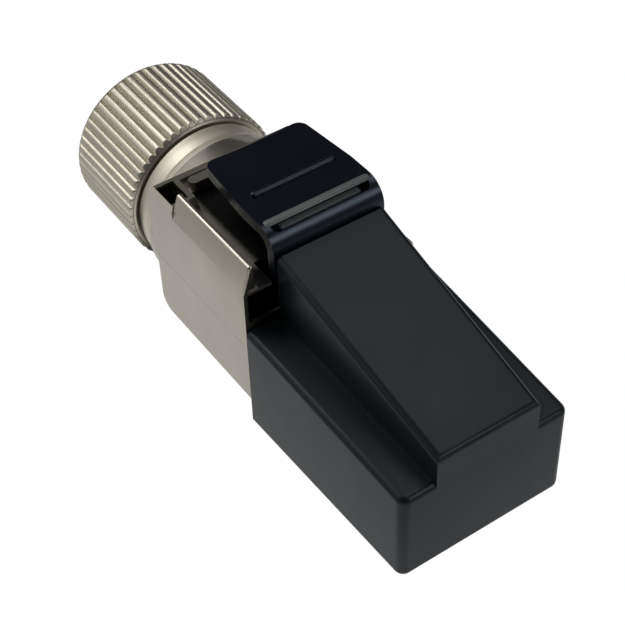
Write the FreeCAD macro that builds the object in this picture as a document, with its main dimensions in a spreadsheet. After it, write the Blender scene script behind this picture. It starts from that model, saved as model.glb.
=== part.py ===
import FreeCAD, Part
import os
import re
import Sketcher

# Field termination ethernet plug: shielded eight-way nose under a dust cap, two-piece die-cast
# housing, latch lever with a thumb plate, and a knurled gland nut on a threaded neck.
# Millimetres. +Z is up, the nose points to -Y, the cable enters from +Y, and X = 0 is the
# middle plane of nose and cable. Z = 0 is the surface that the cap and the gland nut rest on.
# Places along the plug count from the cap's closed front; the bodies are moved so that Y = 0
# of the frame is the middle of the whole length.

SIZES = {
    # Dust cap: a box that narrows and drops towards its closed front, with a raised tunnel.
    "cap_length": 16.7,
    "cap_side_wall": 0.75,
    "cap_taper": 0.35,
    "cap_rise": 1.2,
    "tunnel_rear_width": 8.7,
    "tunnel_taper": 0.3,
    "tunnel_rear_height": 14.2,
    "tunnel_front_height": 10.1,
    "cap_front_wall": 0.95,
    "cap_wall": 0.6,
    "cap_corner_round": 0.7,
    "cap_edge_round": 0.5,
    "tunnel_edge_round": 0.5,
    "cap_fit": 0.06,
    "cap_gap": 0.15,
    # Plug nose: the eight-way insert that enters the jack.
    "nose_width": 11.68,
    "nose_height": 6.6,
    "nose_bottom": 0.6,
    "nose_tip_length": 6.4,
    "tail_inset": 0.9,
    "tail_bottom": 2.75,
    "tail_top": 7.0,
    "flange_length": 0.9,
    "flange_lip": 0.5,
    "insert_fit": 0.05,
    # Nose shield: folded sheet round the nose.
    "sheet": 0.2,
    "shield_fit": 0.03,
    "spring_length": 3.4,
    "spring_height": 1.5,
    "spring_slot": 0.3,
    # Contacts: eight stamped blades in comb slots.
    "contact_pitch": 1.02,
    "contact_thickness": 0.32,
    "contact_length": 5.2,
    "contact_recess": 0.45,
    "contact_round": 0.6,
    "slot_clearance": 0.05,
    # Circuit board that joins the contacts to the wire clamps.
    "board_thickness": 1.0,
    "board_bottom": 4.0,
    "board_inset": 0.6,
    "board_side_gap": 0.5,
    "board_fit": 0.05,
    # Insulation displacement contacts, their carrier and the wire manager.
    "fork_width": 1.5,
    "fork_edge": 0.65,
    "fork_thickness": 0.4,
    "fork_top": 10.0,
    "fork_slot_width": 0.36,
    "fork_slot_depth": 1.7,
    "fork_row_inset": 1.9,
    "carrier_top": 8.0,
    "manager_side_gap": 0.4,
    "groove_wall": 0.3,
    "wire_groove_height": 1.2,
    # Housing: two castings that part at mid height.
    "housing_inset": 0.1,
    "housing_length": 12.1,
    "housing_bottom": 1.9,
    "parting_level": 7.25,
    "parting_gap": 0.02,
    "deck_level": 12.3,
    "deck_thickness": 0.7,
    "side_top": 12.45,
    "rail_top": 14.35,
    "rail_lean": 0.55,
    "rail_thickness": 0.4,
    "rail_gap": 0.5,
    "rear_top": 13.25,
    "side_wall": 0.8,
    "floor_wall": 0.7,
    "front_wall": 0.8,
    "rear_block_length": 2.75,
    "ledge_level": 9.5,
    "latch_bay_depth": 2.2,
    "latch_bay_side": 0.3,
    "latch_bay_wall": 0.55,
    "latch_clearance": 0.3,
    "deck_lip": 0.35,
    "sill_thickness": 0.25,
    "sill_depth": 1.2,
    "porch_rise": 0.35,
    "bottom_round": 0.5,
    "rear_round": 1.5,
    "top_chamfer": 0.3,
    "flank_inset": 2.3,
    "flank_level": 9.4,
    "flank_wall": 0.7,
    "pocket_width": 1.4,
    "pocket_length": 2.1,
    "pocket_depth": 2.6,
    "pocket_rim": 0.3,
    "lug_radius": 0.4,
    "lug_length": 1.4,
    "lug_height": 0.1,
    "lug_recess": 0.6,
    # Neck flange, collar and thread, all round the cable axis.
    "neck_flange_length": 2.0,
    "flange_wall": 0.9,
    "flange_taper": 0.3,
    "flange_flat": 0.2,
    "neck_step": 0.1,
    "neck_key_height": 0.6,
    "neck_key_length": 0.7,
    "neck_key_wall": 0.35,
    "neck_wall": 1.0,
    "neck_fit": 0.05,
    "collar_length": 2.3,
    "collar_step": 0.05,
    "collar_taper": 0.4,
    "collar_groove": 0.22,
    "thread_length": 3.3,
    # Gland nut, thrust ring, clamp collet, cable seal and shield spring.
    "nut_radius": 6.3,
    "nut_wall": 1.4,
    "nut_length": 8.45,
    "nut_gap": 0.2,
    "nut_chamfer": 0.35,
    "nut_rear_round": 0.6,
    "nut_end_wall": 1.15,
    "nut_hole_step": 0.3,
    "thread_fit": 0.06,
    "knurl_count": 50,
    "knurl_width": 0.42,
    "knurl_depth": 0.22,
    "ring_thickness": 0.6,
    "ring_width": 0.8,
    "collet_step": 0.1,
    "collet_taper": 0.35,
    "collet_base": 0.95,
    "collet_slots": 6,
    "collet_slot_width": 0.5,
    "seal_wall": 0.6,
    "axial_fit": 0.05,
    "spring_ring_step": 0.3,
    "spring_ring_sheet": 0.22,
    "spring_ring_wave": 0.3,
    "spring_ring_length": 1.2,
    "spring_ring_angle": 300,
    # Latch lever: sprung tab in the cap's tunnel, heel, and thumb plate with two grip bars.
    "bead_radius": 0.55,
    "bead_fit": 0.05,
    "bead_setback": 1.3,
    "bead_sink": 0.2,
    "tab_neck": 0.6,
    "tab_thickness": 1.0,
    "tab_clearance": 0.3,
    "tab_catch_length": 6.1,
    "catch_clearance": 0.4,
    "tab_width": 3.3,
    "heel_gap": 0.15,
    "heel_thickness": 0.8,
    "heel_round": 1.7,
    "plate_rise": 1.7,
    "plate_drop": 0.15,
    "plate_overhang": 0.25,
    "plate_thickness": 0.85,
    "plate_corner_round": 0.75,
    "latch_overhang": 0.05,
    "flare_length": 5.4,
    "flare_inset": 0.45,
    "hollow_radius": 42.0,
    "hollow_depth": 0.12,
    "bar_inset": 1.05,
    "bay_inset": 0.5,
    "bar_width": 0.55,
    "bar_height": 0.25,
    "bar_setback": 4.25,
    "bay_width": 1.05,
    "bay_setback": 1.15,
    "bay_floor": 0.72,
    "latch_swing_room": 1.15,
}

# Places that follow from the sizes, each written once.
PLACES = {
    "cap_front_width": "(nose_width + 2 * cap_fit + 2 * cap_side_wall)",
    "cap_rear_width": "(cap_front_width + 2 * cap_taper)",
    "cap_front_height": "(nose_top + cap_wall)",
    "cap_rear_height": "(cap_front_height + cap_rise)",
    "tunnel_front_width": "(tunnel_rear_width - 2 * tunnel_taper)",
    "nose_front": "(cap_front_wall + cap_fit)",
    "nose_top": "(nose_bottom + nose_height)",
    "nose_rear": "(cap_length + cap_gap - insert_fit)",
    "tip_end": "(nose_front + nose_tip_length)",
    "core_side": "(nose_width / 2 - sheet - shield_fit)",
    "core_bottom": "(nose_bottom + sheet + shield_fit)",
    "core_top": "(nose_top - sheet - shield_fit)",
    "housing_front": "(cap_length + cap_gap)",
    "housing_rear": "(housing_front + housing_length)",
    "front_wall_end": "(housing_front + front_wall)",
    "flange_front": "(front_wall_end + insert_fit)",
    "tail_end": "(flange_front + flange_length)",
    "rear_block_front": "(housing_rear - rear_block_length)",
    "rail_end": "(rear_block_front - rail_gap)",
    "housing_width": "(cap_rear_width - 2 * housing_inset)",
    "inner_side": "(housing_width / 2 - side_wall)",
    "tail_width": "(2 * (inner_side - tail_inset))",
    "inner_floor": "(housing_bottom + floor_wall)",
    "inner_top": "(deck_level - deck_thickness)",
    "lower_top": "(parting_level - parting_gap)",
    "board_top": "(board_bottom + board_thickness)",
    "board_nose_width": "(tail_width - 2 * board_inset)",
    "board_rear_width": "(2 * (inner_side - board_side_gap))",
    "board_rear": "(rear_block_front - 2 * board_fit)",
    "board_step": "(tail_end + 2 * board_fit)",
    "board_front": "(nose_front + contact_recess + 2 * board_fit)",
    "bay_wall_front": "(housing_front + latch_bay_depth)",
    "bay_wall_end": "(bay_wall_front + latch_bay_wall)",
    "carrier_front": "(bay_wall_end + insert_fit)",
    "carrier_rear": "(rear_block_front - insert_fit - board_fit)",
    "carrier_width": "(board_rear_width)",
    "manager_width": "(2 * (inner_side - manager_side_gap))",
    "wire_pitch": "((carrier_width - fork_width - 2 * fork_edge) / 7)",
    "wire_width": "(wire_pitch - groove_wall)",
    "fork_row_front": "(carrier_front + fork_row_inset)",
    "fork_row_rear": "(carrier_rear - fork_row_inset)",
    "axis_level": "(nut_radius)",
    "thread_radius": "(nut_radius - nut_wall)",
    "neck_bore_radius": "(thread_radius - neck_wall)",
    "neck_radius": "(thread_radius + neck_step)",
    "neck_key_radius": "(neck_radius + neck_key_height)",
    "flange_radius": "(neck_key_radius + flange_wall)",
    "flange_rear_radius": "(flange_radius - flange_taper)",
    "collar_front_radius": "(flange_rear_radius - collar_step)",
    "collar_rear_radius": "(collar_front_radius - collar_taper)",
    "spring_ring_radius": "(neck_radius - spring_ring_step)",
    "nut_hole_radius": "(neck_bore_radius + nut_hole_step)",
    "collet_radius": "(thread_radius - collet_step)",
    "collet_tip_radius": "(collet_radius - collet_taper)",
    "flange_end": "(housing_rear + neck_flange_length)",
    "collar_start": "(flange_end + neck_fit)",
    "collar_end": "(collar_start + collar_length)",
    "neck_end": "(collar_end + thread_length)",
    "key_start": "(housing_rear - neck_key_wall - neck_key_length)",
    "key_end": "(housing_rear - neck_key_wall)",
    "spring_seat_end": "(rear_block_front + spring_ring_length + 2 * axial_fit)",
    "neck_start": "(spring_seat_end + axial_fit)",
    "nut_front": "(collar_end + nut_gap)",
    "nut_rear": "(nut_front + nut_length)",
    "nut_inner_end": "(nut_rear - nut_end_wall)",
    "nut_bore_radius": "(thread_radius + thread_fit)",
    "ring_rear": "(nut_inner_end - axial_fit)",
    "ring_front": "(ring_rear - ring_thickness)",
    "ring_inner": "(nut_hole_radius + axial_fit)",
    "collet_front": "(neck_end + axial_fit)",
    "collet_rear": "(ring_front - axial_fit)",
    "collet_inner": "(neck_bore_radius + axial_fit)",
    "seal_outer": "(collet_inner - axial_fit)",
    "seal_inner": "(seal_outer - seal_wall)",
    "slope": "((tunnel_rear_height - tunnel_front_height) / cap_length)",
    "roof_front": "(tunnel_front_height - cap_wall - cap_wall / 2)",
    "tab_rise": "(roof_front - tab_clearance)",
    "bead_place": "(nose_front + bead_setback)",
    "bead_level": "(nose_top - bead_sink)",
    "heel_front": "(cap_length + heel_gap)",
    "heel_rear": "(heel_front + heel_thickness)",
    "plate_end": "(rail_end + plate_overhang)",
    "plate_top": "(tunnel_rear_height + plate_rise)",
    "plate_rear_top": "(plate_top - plate_drop)",
    "latch_width": "(tunnel_rear_width + 2 * latch_overhang)",
    "latch_room": "(latch_width / 2 + latch_clearance)",
    "tab_catch_width": "(tunnel_front_width - 2 * cap_wall - 2 * catch_clearance)",
    "tab_catch_end": "(bead_place + tab_catch_length)",
    "bar_length": "(latch_width - 2 * bar_inset)",
    "bay_length": "(latch_width - 2 * bay_inset)",
    "bay_bottom": "(plate_top - bay_floor)",
    "pocket_side": "(housing_width / 2 - pocket_rim)",
    "pocket_rear": "(housing_rear - pocket_rim - top_chamfer)",
    "lug_place": "(-pocket_side + pocket_width + 3 * lug_radius)",
    "flank_slope": "((rear_top - flank_level) / flank_inset)",
}

doc = FreeCAD.newDocument("FieldPlug")
sheet = doc.addObject("Spreadsheet::Sheet", "sizes")
for row, (alias, size) in enumerate(SIZES.items(), start=1):
    sheet.set(f"A{row}", alias.replace("_", " "))
    sheet.set(f"B{row}", str(size))
    sheet.setAlias(f"B{row}", alias)
doc.recompute()

subparts = []


def bound(expression):
    """Turn plain size and place names into an expression that reads the sheet."""
    while any(word in PLACES for word in re.findall(r"[a-z_]+", expression)):
        expression = re.sub(r"[a-z_]+", lambda word: PLACES.get(word[0], word[0]), expression)
    return re.sub(r"[a-z_]+", lambda word: f"sizes.{word[0]}" if word[0] in SIZES else word[0], expression)


def number(expression):
    """Present value of an expression, in millimetres or degrees."""
    return float(sheet.evalExpression(bound(expression)))


def start_body(label):
    """New sub-part at the frame's origin."""
    body = doc.addObject("PartDesign::Body", label)
    body.Label = label
    body.setExpression("Placement.Base.y", bound("-nut_rear / 2"))
    subparts.append(body)
    return body


def datum(body, role):
    """Origin plane or axis of a body, found by its role."""
    return next(feature for feature in body.Origin.OriginFeatures if feature.Role == role)


def start_sketch(body, name, plane, offset, rise="0"):
    """Sketch on an origin plane, moved along the plane's world axis and, if asked, upwards."""
    sketch = body.newObject("Sketcher::SketchObject", name)
    sketch.AttachmentSupport = [(datum(body, plane), "")]
    sketch.MapMode = "FlatFace"
    side = "-" if plane == "XZ_Plane" else ""
    sketch.setExpression("AttachmentOffset.Base.z", bound(f"{side}({offset})"))
    sketch.setExpression("AttachmentOffset.Base.y", bound(rise))
    return sketch


def draw_polygon(sketch, corners):
    """Closed outline whose every corner is dimensioned from the sketch's origin."""
    first = sketch.GeometryCount
    count = len(corners)
    points = [FreeCAD.Vector(number(across), number(up), 0) for across, up in corners]
    for i in range(count):
        sketch.addGeometry(Part.LineSegment(points[i], points[(i + 1) % count]), False)
    joins = [
        Sketcher.Constraint("Coincident", first + i, 2, first + (i + 1) % count, 1)
        for i in range(count)
    ]
    sketch.addConstraint(joins)
    for i, (across, up) in enumerate(corners):
        for kind, place, distance in (("DistanceX", across, points[i].x), ("DistanceY", up, points[i].y)):
            index = sketch.addConstraint(Sketcher.Constraint(kind, -1, 1, first + i, 1, distance))
            sketch.setExpression(f"Constraints[{index}]", bound(place))


def polygon(body, name, plane, corners, offset="0", rise="0"):
    """Sketch with one closed outline."""
    sketch = start_sketch(body, name, plane, offset, rise)
    draw_polygon(sketch, corners)
    return sketch


def mirrored_polygons(body, name, plane, corners, offset="0"):
    """Sketch with an outline on the right and its mirror image on the left."""
    sketch = start_sketch(body, name, plane, offset)
    draw_polygon(sketch, corners)
    draw_polygon(sketch, [(f"-({across})", up) for across, up in reversed(corners)])
    return sketch


def box_corners(low_across, low_up, high_across, high_up):
    """Corners of an upright rectangle."""
    return [(low_across, low_up), (high_across, low_up), (high_across, high_up), (low_across, high_up)]


def circle(body, name, plane, centre, radius, offset="0"):
    """Sketch with one dimensioned circle."""
    sketch = start_sketch(body, name, plane, offset)
    across, up = number(centre[0]), number(centre[1])
    middle = FreeCAD.Vector(across, up, 0)
    sketch.addGeometry(Part.Circle(middle, FreeCAD.Vector(0, 0, 1), number(radius)), False)
    for kind, distance, expression in (
        ("DistanceX", across, centre[0]),
        ("DistanceY", up, centre[1]),
    ):
        index = sketch.addConstraint(Sketcher.Constraint(kind, -1, 1, 0, 3, distance))
        sketch.setExpression(f"Constraints[{index}]", bound(expression))
    index = sketch.addConstraint(Sketcher.Constraint("Radius", 0, number(radius)))
    sketch.setExpression(f"Constraints[{index}]", bound(radius))
    return sketch


def extrude(feature, sketch, length, towards, adds):
    """Common settings of a pad or a pocket: towards is +1 or -1 along the world axis, or 0 for both."""
    feature.Profile = sketch
    facing = -1 if sketch.AttachmentSupport[0][0].Role == "XZ_Plane" else 1
    if length is None:
        feature.Type = "ThroughAll"
    else:
        feature.setExpression("Length", bound(length))
    if towards == 0:
        feature.SideType = "Symmetric"
    else:
        feature.Reversed = (towards * facing < 0) == adds


def pad(body, name, sketch, length, towards=0):
    """Add material from an outline."""
    feature = body.newObject("PartDesign::Pad", name)
    extrude(feature, sketch, length, towards, True)
    return feature


def settle_cut(body, name, volume_before):
    """A cut has to take something away."""
    doc.recompute()
    if body.Shape.Volume > volume_before - 1e-4:
        raise ValueError(f"{body.Label}: {name} removes nothing")


def pocket(body, name, sketch, length=None, towards=0):
    """Remove material along an outline."""
    doc.recompute()
    volume_before = body.Shape.Volume
    feature = body.newObject("PartDesign::Pocket", name)
    extrude(feature, sketch, length, towards, False)
    settle_cut(body, name, volume_before)
    return feature


def turn(body, name, corners, angle="360"):
    """Add a turned form: corners are (place along the cable axis, radius)."""
    sketch = polygon(body, f"{name}_section", "YZ_Plane", corners, rise="axis_level")
    feature = body.newObject("PartDesign::Revolution", name)
    feature.Profile = sketch
    feature.ReferenceAxis = (sketch, ["H_Axis"])
    feature.setExpression("Angle", bound(angle))
    return feature


def turn_out(body, name, corners):
    """Remove a turned form round the cable axis."""
    sketch = polygon(body, f"{name}_section", "YZ_Plane", corners, rise="axis_level")
    doc.recompute()
    volume_before = body.Shape.Volume
    feature = body.newObject("PartDesign::Groove", name)
    feature.Profile = sketch
    feature.ReferenceAxis = (sketch, ["H_Axis"])
    feature.Angle = 360
    settle_cut(body, name, volume_before)
    return feature


def finish_edges(body, kind, name, size, chosen):
    """Round or bevel the edges that a test on their ends accepts."""
    doc.recompute()
    base = body.Tip
    names = []
    for index, edge in enumerate(base.Shape.Edges, start=1):
        ends = [edge.valueAt(edge.FirstParameter), edge.valueAt(edge.LastParameter)]
        if chosen(*ends):
            names.append(f"Edge{index}")
    if not names:
        raise ValueError(f"{body.Label}: no edge for {name}")
    feature = body.newObject(f"PartDesign::{kind}", name)
    feature.Base = (base, names)
    feature.setExpression("Radius" if kind == "Fillet" else "Size", bound(size))
    doc.recompute()
    if "Invalid" in feature.State:
        raise ValueError(f"{body.Label}: {name} can't be made")
    return feature


def near(value, expression):
    """Whether a coordinate lies at a place."""
    return abs(value - number(expression)) < 0.01


def both_near(a, b, axis, expression):
    """Whether an edge lies at one place on an axis (0 = X, 1 = Y, 2 = Z)."""
    return near(a[axis], expression) and near(b[axis], expression)


def sides_near(a, b, expression):
    """Whether an edge lies at the same distance left or right of the middle."""
    return near(abs(a[0]), expression) and near(abs(b[0]), expression)


def along(a, b, axis):
    """Whether an edge runs along one axis only."""
    others = [i for i in range(3) if i != axis]
    return all(abs(a[i] - b[i]) < 0.01 for i in others) and abs(a[axis] - b[axis]) > 0.01


def make_dust_cap():
    """Moulded cap: tapering box, raised tunnel for the latch, nose cavity open to the rear."""
    body = start_body("dust_cap")
    tunnel_plan = [
        ("-tunnel_front_width / 2", "0"),
        ("tunnel_front_width / 2", "0"),
        ("tunnel_rear_width / 2", "cap_length"),
        ("-tunnel_rear_width / 2", "cap_length"),
    ]
    pad(body, "tunnel", polygon(body, "tunnel_plan", "XY_Plane", tunnel_plan), "tunnel_rear_height", 1)
    slope = [
        ("0", "tunnel_front_height"),
        ("cap_length", "tunnel_rear_height"),
        ("0", "tunnel_rear_height"),
    ]
    pocket(body, "platform_slope", polygon(body, "platform_line", "YZ_Plane", slope), "2 * cap_rear_width")
    side = [
        ("0", "0"),
        ("cap_length", "0"),
        ("cap_length", "cap_rear_height"),
        ("0", "cap_front_height"),
    ]
    pad(body, "box", polygon(body, "box_side", "YZ_Plane", side), "cap_rear_width")
    taper = [
        ("cap_front_width / 2", "0"),
        ("cap_rear_width / 2", "0"),
        ("cap_rear_width / 2", "cap_length"),
    ]
    pocket(body, "side_taper", mirrored_polygons(body, "taper_plan", "XY_Plane", taper), "cap_rear_height", 1)

    finish_edges(
        body, "Fillet", "corner_round", "cap_corner_round",
        lambda a, b: along(a, b, 2) and sides_near(a, b, "cap_front_width / 2"),
    )
    finish_edges(
        body, "Fillet", "tunnel_round", "tunnel_edge_round",
        lambda a, b: min(a.z, b.z) > number("tunnel_front_height") - 0.01
        and not both_near(a, b, 1, "cap_length"),
    )

    def outer_edge(a, b):
        """Bottom edges all round, and the outer top edges of the two shoulders."""
        if both_near(a, b, 1, "cap_length"):
            return False
        on_side = min(abs(a.x), abs(b.x)) > number("tunnel_rear_width / 2") + 0.3
        low = both_near(a, b, 2, "0")
        shoulder = min(a.z, b.z) > number("cap_front_height") - 0.01
        return low or (on_side and shoulder)

    finish_edges(body, "Fillet", "edge_round", "cap_edge_round", outer_edge)

    cavity = [
        ("cap_front_wall", "nose_bottom - cap_fit"),
        ("cap_length", "nose_bottom - cap_fit"),
        ("cap_length", "cap_rear_height - 1.5 * cap_wall"),
        ("cap_front_wall", "nose_top + cap_fit"),
    ]
    cavity_side = polygon(body, "cavity_side", "YZ_Plane", cavity)
    pocket(body, "nose_cavity", cavity_side, "nose_width + 2 * cap_fit")
    latch_way = [
        ("cap_front_wall", "nose_top - cap_wall"),
        ("cap_length", "nose_top - cap_wall"),
        ("cap_length", "roof_front + slope * cap_length"),
        ("cap_front_wall", "roof_front + slope * cap_front_wall"),
    ]
    latch_side = polygon(body, "latch_way_side", "YZ_Plane", latch_way)
    pocket(body, "latch_way", latch_side, "tunnel_front_width - 2 * cap_wall")


def make_plug_nose():
    """Moulded insert: full-size tip, core under the shield, and a flanged tail in the housing."""
    body = start_body("plug_nose")
    tip = box_corners("nose_front", "nose_bottom", "tip_end", "nose_top")
    pad(body, "tip", polygon(body, "tip_side", "YZ_Plane", tip), "nose_width")
    core = box_corners("tip_end", "core_bottom", "nose_rear", "core_top")
    pad(body, "core", polygon(body, "core_side", "YZ_Plane", core), "2 * core_side")
    tail = box_corners("nose_rear", "tail_bottom", "tail_end", "tail_top")
    pad(body, "tail", polygon(body, "tail_side", "YZ_Plane", tail), "tail_width")
    flange = box_corners("flange_front", "tail_bottom", "tail_end", "tail_top")
    pad(body, "flange", polygon(body, "flange_side", "YZ_Plane", flange), "tail_width + 2 * flange_lip")
    finish_edges(
        body, "Fillet", "tip_round", "contact_recess",
        lambda a, b: along(a, b, 0) and both_near(a, b, 1, "nose_front"),
    )
    board_slot = box_corners("board_front - board_fit", "board_bottom - board_fit",
                             "tail_end", "board_top + board_fit")
    slot_side = polygon(body, "board_slot_side", "YZ_Plane", board_slot)
    pocket(body, "board_slot", slot_side, "board_nose_width + 2 * board_fit")
    hinge = ("bead_place", "bead_level")
    bead_seat = circle(body, "bead_seat_side", "YZ_Plane", hinge, "bead_radius + bead_fit")
    pocket(body, "bead_seat", bead_seat, "tab_catch_width + 2 * insert_fit")
    comb = box_corners("nose_front", "nose_bottom",
                       "nose_front + contact_recess + contact_length + slot_clearance",
                       "board_bottom")
    first_slot = polygon(body, "comb_side", "YZ_Plane", comb, offset="-3.5 * contact_pitch")
    slot = pocket(body, "comb_slot", first_slot, "contact_thickness + 2 * slot_clearance")
    pattern = body.newObject("PartDesign::LinearPattern", "comb")
    pattern.Originals = [slot]
    pattern.Direction = (datum(body, "X_Axis"), [""])
    pattern.setExpression("Length", bound("7 * contact_pitch"))
    pattern.Occurrences = 8
    body.Tip = pattern


def make_nose_shield():
    """Folded sheet sleeve round the nose, with a pressed contact spring on each side."""
    body = start_body("nose_shield")
    outer = box_corners("-nose_width / 2", "nose_bottom", "nose_width / 2", "nose_top")
    outer_section = polygon(body, "outer_section", "XZ_Plane", outer, offset="tip_end + shield_fit")
    pad(body, "sleeve", outer_section, "nose_rear - tip_end - 2 * shield_fit", 1)
    inner = box_corners(
        "-core_side - shield_fit / 2", "core_bottom - shield_fit / 2",
        "core_side + shield_fit / 2", "core_top + shield_fit / 2",
    )
    inner_section = polygon(body, "inner_section", "XZ_Plane", inner, offset="tip_end")
    pocket(body, "hollow", inner_section, "nose_rear - tip_end + sheet", 1)
    finish_edges(
        body, "Fillet", "fold_round", "sheet",
        lambda a, b: along(a, b, 1) and sides_near(a, b, "nose_width / 2"),
    )
    middle = "nose_bottom + nose_height / 2"
    for level, label in (
        (f"{middle} + spring_height / 2", "upper"),
        (f"{middle} - spring_height / 2", "lower"),
    ):
        relief = box_corners(
            "tip_end + spring_length / 2", f"{level} - spring_slot / 2",
            "tip_end + 1.5 * spring_length", f"{level} + spring_slot / 2",
        )
        relief_side = polygon(body, f"{label}_relief_side", "YZ_Plane", relief)
        pocket(body, f"{label}_relief", relief_side, "2 * nose_width")


def make_contact(index):
    """Stamped blade: rounded nose below, and a leg up into the board's edge row."""
    body = start_body(f"contact_{index + 1}")
    front = "nose_front + contact_recess"
    low = "nose_bottom + contact_recess"
    blade = [
        (front, low),
        (f"{front} + contact_length", low),
        (f"{front} + contact_length", "board_bottom - 2 * board_fit"),
        (front, "board_bottom - 2 * board_fit"),
    ]
    outline = polygon(body, "blade_side", "YZ_Plane", blade, offset=f"({index} - 3.5) * contact_pitch")
    pad(body, "blade", outline, "contact_thickness")
    finish_edges(
        body, "Fillet", "blade_round", "contact_round",
        lambda a, b: along(a, b, 0) and both_near(a, b, 2, low),
    )


def make_circuit_board():
    """Board with a narrow tongue in the nose and a wide end in the housing."""
    body = start_body("circuit_board")
    plan = [
        ("-board_nose_width / 2", "board_front"),
        ("board_nose_width / 2", "board_front"),
        ("board_nose_width / 2", "board_step"),
        ("board_rear_width / 2", "board_step"),
        ("board_rear_width / 2", "board_rear"),
        ("-board_rear_width / 2", "board_rear"),
        ("-board_rear_width / 2", "board_step"),
        ("-board_nose_width / 2", "board_step"),
    ]
    board_plan = polygon(body, "board_plan", "XY_Plane", plan, offset="board_bottom")
    pad(body, "board", board_plan, "board_thickness", 1)


def fork_place(index):
    """Across and along places of a fork: odd wires in the front row, even wires in the rear row."""
    row = "fork_row_rear" if index % 2 else "fork_row_front"
    return f"({index} - 3.5) * wire_pitch", row


def cut_fork_slots(body, low, high):
    """Eight through slots for the forks, each a named clearance larger than its fork."""
    for index in range(8):
        across, row = fork_place(index)
        slot = box_corners(
            f"{across} - fork_width / 2 - board_fit", f"{row} - fork_thickness / 2 - board_fit",
            f"{across} + fork_width / 2 + board_fit", f"{row} + fork_thickness / 2 + board_fit",
        )
        outline = polygon(body, f"fork_slot_{index + 1}_plan", "XY_Plane", slot, offset=low)
        pocket(body, f"fork_slot_{index + 1}", outline, f"{high} - ({low})", 1)


def make_idc_carrier():
    """Moulded block on the board that holds the eight forks upright."""
    body = start_body("idc_carrier")
    plan = box_corners("-carrier_width / 2", "carrier_front", "carrier_width / 2", "carrier_rear")
    outline = polygon(body, "carrier_plan", "XY_Plane", plan, offset="board_top + board_fit")
    pad(body, "block", outline, "carrier_top - board_top - board_fit", 1)
    cut_fork_slots(body, "board_top", "carrier_top")


def make_idc_contact(index):
    """Forked blade that cuts through a wire's insulation."""
    body = start_body(f"idc_contact_{index + 1}")
    across, row = fork_place(index)
    half_slot = "fork_slot_width / 2"
    fork = [
        (f"{across} - fork_width / 2", "board_top + board_fit"),
        (f"{across} + fork_width / 2", "board_top + board_fit"),
        (f"{across} + fork_width / 2", "fork_top - fork_slot_width"),
        (f"{across} + fork_width / 3", "fork_top"),
        (f"{across} + {half_slot}", "fork_top - fork_slot_width"),
        (f"{across} + {half_slot}", "fork_top - fork_slot_depth"),
        (f"{across} - {half_slot}", "fork_top - fork_slot_depth"),
        (f"{across} - {half_slot}", "fork_top - fork_slot_width"),
        (f"{across} - fork_width / 3", "fork_top"),
        (f"{across} - fork_width / 2", "fork_top - fork_slot_width"),
    ]
    pad(body, "fork", polygon(body, "fork_face", "XZ_Plane", fork, offset=row), "fork_thickness")


def make_wire_manager():
    """Moulded comb that seats eight wires over the forks when the housing closes."""
    body = start_body("wire_manager")
    low = "carrier_top + board_fit"
    plan = box_corners("-manager_width / 2", "carrier_front", "manager_width / 2", "carrier_rear")
    outline = polygon(body, "manager_plan", "XY_Plane", plan, offset=low)
    pad(body, "block", outline, f"inner_top - insert_fit - ({low})", 1)
    inset = "housing_width / 2 - flank_wall - 2 * insert_fit"
    bevel = [
        ("manager_width / 2", f"flank_level + flank_slope * ({inset} - manager_width / 2)"),
        ("manager_width / 2 + insert_fit", f"flank_level + flank_slope * ({inset} - manager_width / 2)"),
        ("manager_width / 2 + insert_fit", "inner_top"),
        (f"{inset} - (inner_top - flank_level) / flank_slope", "inner_top"),
    ]
    bevel_section = polygon(body, "bevel_section", "XZ_Plane", bevel, offset="carrier_front")
    pocket(body, "right_bevel", bevel_section, "carrier_rear - carrier_front", 1)
    groove = box_corners(
        "-3.5 * wire_pitch - wire_width / 2", low,
        "-3.5 * wire_pitch + wire_width / 2", f"{low} + wire_groove_height",
    )
    groove_face = polygon(body, "groove_face", "XZ_Plane", groove, offset="carrier_front")
    first = pocket(body, "wire_groove", groove_face, None, 1)
    pattern = body.newObject("PartDesign::LinearPattern", "wire_grooves")
    pattern.Originals = [first]
    pattern.Direction = (datum(body, "X_Axis"), [""])
    pattern.setExpression("Length", bound("7 * wire_pitch"))
    pattern.Occurrences = 8
    body.Tip = pattern
    cut_fork_slots(body, low, "fork_top + board_fit")


def cut_neck_seat(body):
    """Bore through the rear wall, stepped for the shield spring and for the neck's key ring."""
    seat = "spring_ring_radius + neck_fit"
    bore = "neck_radius + neck_fit"
    key = "neck_key_radius + neck_fit"
    turn_out(body, "neck_seat", [
        ("rear_block_front", "0"),
        ("flange_end + front_wall", "0"),
        ("flange_end + front_wall", bore),
        ("key_end + neck_fit", bore),
        ("key_end + neck_fit", key),
        ("key_start - neck_fit", key),
        ("key_start - neck_fit", bore),
        ("spring_seat_end", bore),
        ("spring_seat_end", seat),
        ("rear_block_front", seat),
    ])


def neck_flange_section():
    """Conical flange behind the housing, where the casting turns round."""
    return [
        ("housing_rear - neck_key_wall", "neck_radius"),
        ("housing_rear - neck_key_wall", "flange_radius"),
        ("housing_rear", "flange_radius"),
        ("flange_end", "flange_rear_radius"),
        ("flange_end", "neck_radius"),
    ]


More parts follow.
